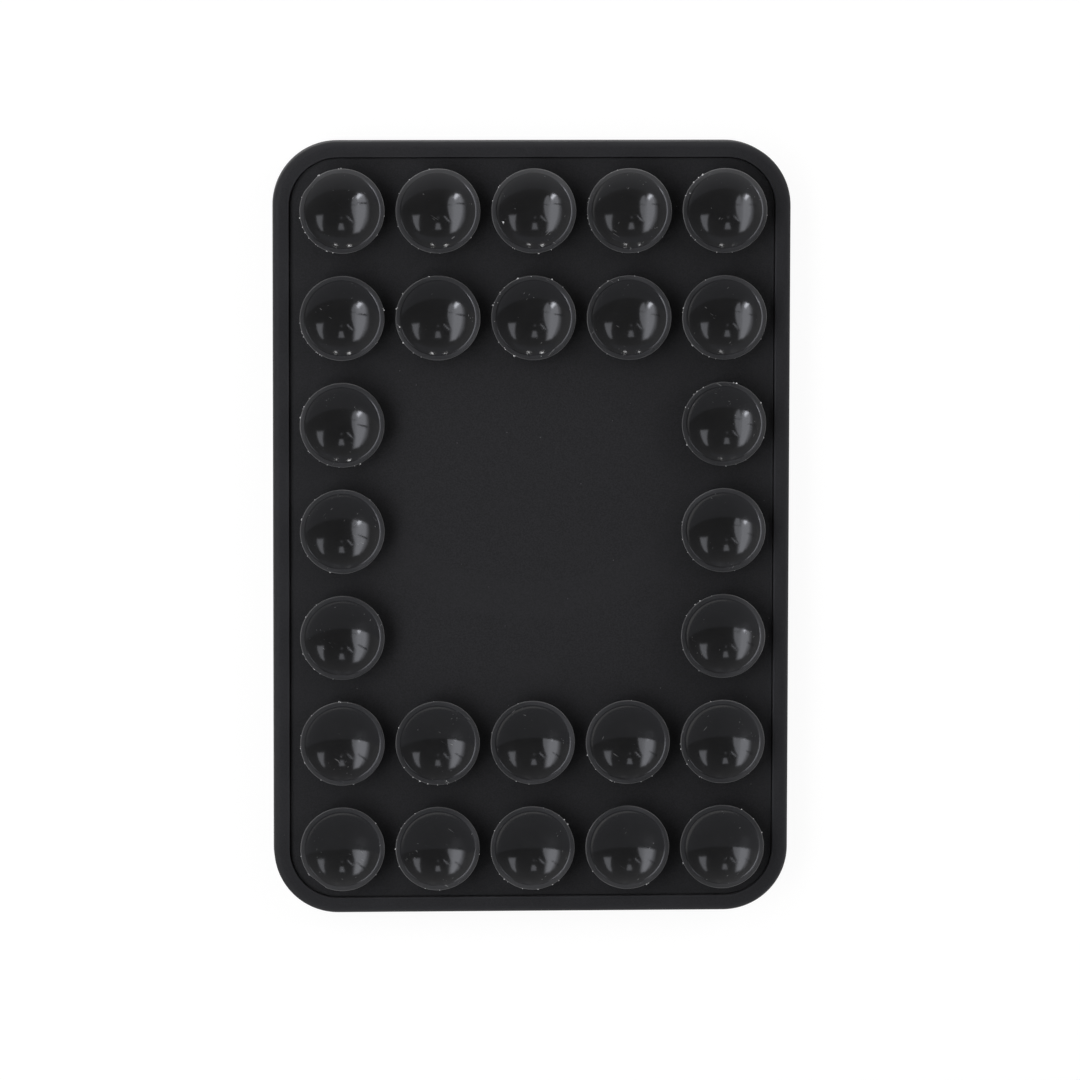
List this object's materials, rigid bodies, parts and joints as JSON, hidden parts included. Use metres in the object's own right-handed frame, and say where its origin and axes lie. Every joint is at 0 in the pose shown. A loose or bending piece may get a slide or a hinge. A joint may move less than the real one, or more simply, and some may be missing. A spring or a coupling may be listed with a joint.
{
  "type": "suction cup phone holder",
  "caption": "Flat rounded tray that holds a phone by a ring of magnets on one side, and grips glass or a mirror by a soft pad of small suction cups on the other.",
  "frame": {"origin": "centre of the phone face, in the plane of the soft skin that a phone's back rests on", "axes": "+Z from the phone face towards the cups, +Y towards the end with the magnet ring, +X across"},
  "size_m": [0.064, 0.096, 0.0075],
  "materials": {
    "shell": "soft-touch matte",
    "pad": "matte silicone",
    "cup": "smoky silicone, polished bowl",
    "skin": "fine matte silicone",
    "film": "clear adhesive film",
    "core": "plain moulding",
    "magnet": "nickel plate",
    "shunt": "zinc-plated steel"
  },
  "bodies": {
    "holder": {"back_shell": "shell", "suction_pad": "pad", "core_plate": "core", "shunt_ring": "shunt", "orientation_magnet": "magnet", "pad_adhesive": "film", "phone_skin": "skin", "skin_adhesive": "film", "ring_magnet_01": "magnet", "ring_magnet_02": "magnet", "ring_magnet_03": "magnet", "ring_magnet_04": "magnet", "ring_magnet_05": "magnet", "ring_magnet_06": "magnet", "ring_magnet_07": "magnet", "ring_magnet_08": "magnet", "ring_magnet_09": "magnet", "ring_magnet_10": "magnet", "ring_magnet_11": "magnet", "ring_magnet_12": "magnet", "ring_magnet_13": "magnet", "ring_magnet_14": "magnet", "ring_magnet_15": "magnet", "ring_magnet_16": "magnet"},
    "cup_r1c1": {"suction_cup_r1c1": "cup"},
    "cup_r1c2": {"suction_cup_r1c2": "cup"},
    "cup_r1c3": {"suction_cup_r1c3": "cup"},
    "cup_r1c4": {"suction_cup_r1c4": "cup"},
    "cup_r1c5": {"suction_cup_r1c5": "cup"},
    "cup_r2c1": {"suction_cup_r2c1": "cup"},
    "cup_r2c2": {"suction_cup_r2c2": "cup"},
    "cup_r2c3": {"suction_cup_r2c3": "cup"},
    "cup_r2c4": {"suction_cup_r2c4": "cup"},
    "cup_r2c5": {"suction_cup_r2c5": "cup"},
    "cup_r3c1": {"suction_cup_r3c1": "cup"},
    "cup_r3c5": {"suction_cup_r3c5": "cup"},
    "cup_r4c1": {"suction_cup_r4c1": "cup"},
    "cup_r4c5": {"suction_cup_r4c5": "cup"},
    "cup_r5c1": {"suction_cup_r5c1": "cup"},
    "cup_r5c5": {"suction_cup_r5c5": "cup"},
    "cup_r6c1": {"suction_cup_r6c1": "cup"},
    "cup_r6c2": {"suction_cup_r6c2": "cup"},
    "cup_r6c3": {"suction_cup_r6c3": "cup"},
    "cup_r6c4": {"suction_cup_r6c4": "cup"},
    "cup_r6c5": {"suction_cup_r6c5": "cup"},
    "cup_r7c1": {"suction_cup_r7c1": "cup"},
    "cup_r7c2": {"suction_cup_r7c2": "cup"},
    "cup_r7c3": {"suction_cup_r7c3": "cup"},
    "cup_r7c4": {"suction_cup_r7c4": "cup"},
    "cup_r7c5": {"suction_cup_r7c5": "cup"}
  },
  "joints": [
    {"name": "press_r1c1", "type": "slide", "parent": "holder", "child": "cup_r1c1", "axis": [0, 0, -1], "range_m": [0, 0.0014], "stiffness_N_per_m": 1000, "deforming": ["suction_cup_r1c1"]},
    {"name": "press_r1c2", "type": "slide", "parent": "holder", "child": "cup_r1c2", "axis": [0, 0, -1], "range_m": [0, 0.0014], "stiffness_N_per_m": 1000, "deforming": ["suction_cup_r1c2"]},
    {"name": "press_r1c3", "type": "slide", "parent": "holder", "child": "cup_r1c3", "axis": [0, 0, -1], "range_m": [0, 0.0014], "stiffness_N_per_m": 1000, "deforming": ["suction_cup_r1c3"]},
    {"name": "press_r1c4", "type": "slide", "parent": "holder", "child": "cup_r1c4", "axis": [0, 0, -1], "range_m": [0, 0.0014], "stiffness_N_per_m": 1000, "deforming": ["suction_cup_r1c4"]},
    {"name": "press_r1c5", "type": "slide", "parent": "holder", "child": "cup_r1c5", "axis": [0, 0, -1], "range_m": [0, 0.0014], "stiffness_N_per_m": 1000, "deforming": ["suction_cup_r1c5"]},
    {"name": "press_r2c1", "type": "slide", "parent": "holder", "child": "cup_r2c1", "axis": [0, 0, -1], "range_m": [0, 0.0014], "stiffness_N_per_m": 1000, "deforming": ["suction_cup_r2c1"]},
    {"name": "press_r2c2", "type": "slide", "parent": "holder", "child": "cup_r2c2", "axis": [0, 0, -1], "range_m": [0, 0.0014], "stiffness_N_per_m": 1000, "deforming": ["suction_cup_r2c2"]},
    {"name": "press_r2c3", "type": "slide", "parent": "holder", "child": "cup_r2c3", "axis": [0, 0, -1], "range_m": [0, 0.0014], "stiffness_N_per_m": 1000, "deforming": ["suction_cup_r2c3"]},
    {"name": "press_r2c4", "type": "slide", "parent": "holder", "child": "cup_r2c4", "axis": [0, 0, -1], "range_m": [0, 0.0014], "stiffness_N_per_m": 1000, "deforming": ["suction_cup_r2c4"]},
    {"name": "press_r2c5", "type": "slide", "parent": "holder", "child": "cup_r2c5", "axis": [0, 0, -1], "range_m": [0, 0.0014], "stiffness_N_per_m": 1000, "deforming": ["suction_cup_r2c5"]},
    {"name": "press_r3c1", "type": "slide", "parent": "holder", "child": "cup_r3c1", "axis": [0, 0, -1], "range_m": [0, 0.0014], "stiffness_N_per_m": 1000, "deforming": ["suction_cup_r3c1"]},
    {"name": "press_r3c5", "type": "slide", "parent": "holder", "child": "cup_r3c5", "axis": [0, 0, -1], "range_m": [0, 0.0014], "stiffness_N_per_m": 1000, "deforming": ["suction_cup_r3c5"]},
    {"name": "press_r4c1", "type": "slide", "parent": "holder", "child": "cup_r4c1", "axis": [0, 0, -1], "range_m": [0, 0.0014], "stiffness_N_per_m": 1000, "deforming": ["suction_cup_r4c1"]},
    {"name": "press_r4c5", "type": "slide", "parent": "holder", "child": "cup_r4c5", "axis": [0, 0, -1], "range_m": [0, 0.0014], "stiffness_N_per_m": 1000, "deforming": ["suction_cup_r4c5"]},
    {"name": "press_r5c1", "type": "slide", "parent": "holder", "child": "cup_r5c1", "axis": [0, 0, -1], "range_m": [0, 0.0014], "stiffness_N_per_m": 1000, "deforming": ["suction_cup_r5c1"]},
    {"name": "press_r5c5", "type": "slide", "parent": "holder", "child": "cup_r5c5", "axis": [0, 0, -1], "range_m": [0, 0.0014], "stiffness_N_per_m": 1000, "deforming": ["suction_cup_r5c5"]},
    {"name": "press_r6c1", "type": "slide", "parent": "holder", "child": "cup_r6c1", "axis": [0, 0, -1], "range_m": [0, 0.0014], "stiffness_N_per_m": 1000, "deforming": ["suction_cup_r6c1"]},
    {"name": "press_r6c2", "type": "slide", "parent": "holder", "child": "cup_r6c2", "axis": [0, 0, -1], "range_m": [0, 0.0014], "stiffness_N_per_m": 1000, "deforming": ["suction_cup_r6c2"]},
    {"name": "press_r6c3", "type": "slide", "parent": "holder", "child": "cup_r6c3", "axis": [0, 0, -1], "range_m": [0, 0.0014], "stiffness_N_per_m": 1000, "deforming": ["suction_cup_r6c3"]},
    {"name": "press_r6c4", "type": "slide", "parent": "holder", "child": "cup_r6c4", "axis": [0, 0, -1], "range_m": [0, 0.0014], "stiffness_N_per_m": 1000, "deforming": ["suction_cup_r6c4"]},
    {"name": "press_r6c5", "type": "slide", "parent": "holder", "child": "cup_r6c5", "axis": [0, 0, -1], "range_m": [0, 0.0014], "stiffness_N_per_m": 1000, "deforming": ["suction_cup_r6c5"]},
    {"name": "press_r7c1", "type": "slide", "parent": "holder", "child": "cup_r7c1", "axis": [0, 0, -1], "range_m": [0, 0.0014], "stiffness_N_per_m": 1000, "deforming": ["suction_cup_r7c1"]},
    {"name": "press_r7c2", "type": "slide", "parent": "holder", "child": "cup_r7c2", "axis": [0, 0, -1], "range_m": [0, 0.0014], "stiffness_N_per_m": 1000, "deforming": ["suction_cup_r7c2"]},
    {"name": "press_r7c3", "type": "slide", "parent": "holder", "child": "cup_r7c3", "axis": [0, 0, -1], "range_m": [0, 0.0014], "stiffness_N_per_m": 1000, "deforming": ["suction_cup_r7c3"]},
    {"name": "press_r7c4", "type": "slide", "parent": "holder", "child": "cup_r7c4", "axis": [0, 0, -1], "range_m": [0, 0.0014], "stiffness_N_per_m": 1000, "deforming": ["suction_cup_r7c4"]},
    {"name": "press_r7c5", "type": "slide", "parent": "holder", "child": "cup_r7c5", "axis": [0, 0, -1], "range_m": [0, 0.0014], "stiffness_N_per_m": 1000, "deforming": ["suction_cup_r7c5"]}
  ]
}
